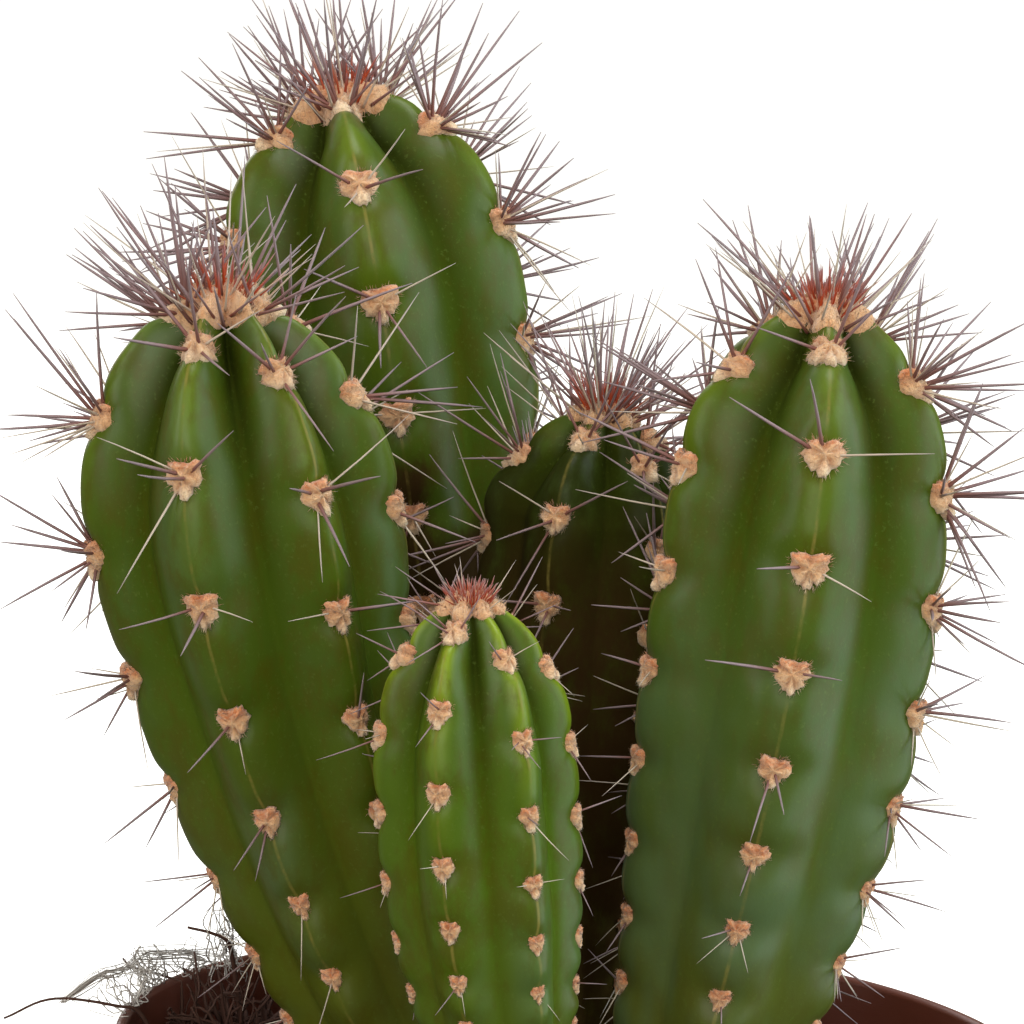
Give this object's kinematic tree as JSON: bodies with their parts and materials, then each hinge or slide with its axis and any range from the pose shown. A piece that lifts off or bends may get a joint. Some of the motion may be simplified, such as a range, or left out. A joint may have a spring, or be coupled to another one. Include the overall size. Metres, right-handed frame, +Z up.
{
  "type": "potted tall cactus",
  "caption": "Clump of ribbed columnar cactus stems with woolly areoles and spines, in the soil of a round plastic nursery pot.",
  "frame": {"origin": "middle of the pot's flat underside", "axes": "+Z up through the middle of the pot, -Y towards the front, +X to the right seen from the front"},
  "size_m": [0.1368, 0.135, 0.2341],
  "materials": {
    "pot": "dark reddish brown moulded plastic, slightly glossy",
    "soil": null,
    "stem": null
  },
  "bodies": {
    "root": {"pot": "pot", "soil": "soil", "stem_left": "stem", "stem_back": "stem", "stem_right": "stem", "stem_small_back": "stem", "stem_small_front": "stem"}
  },
  "joints": []
}
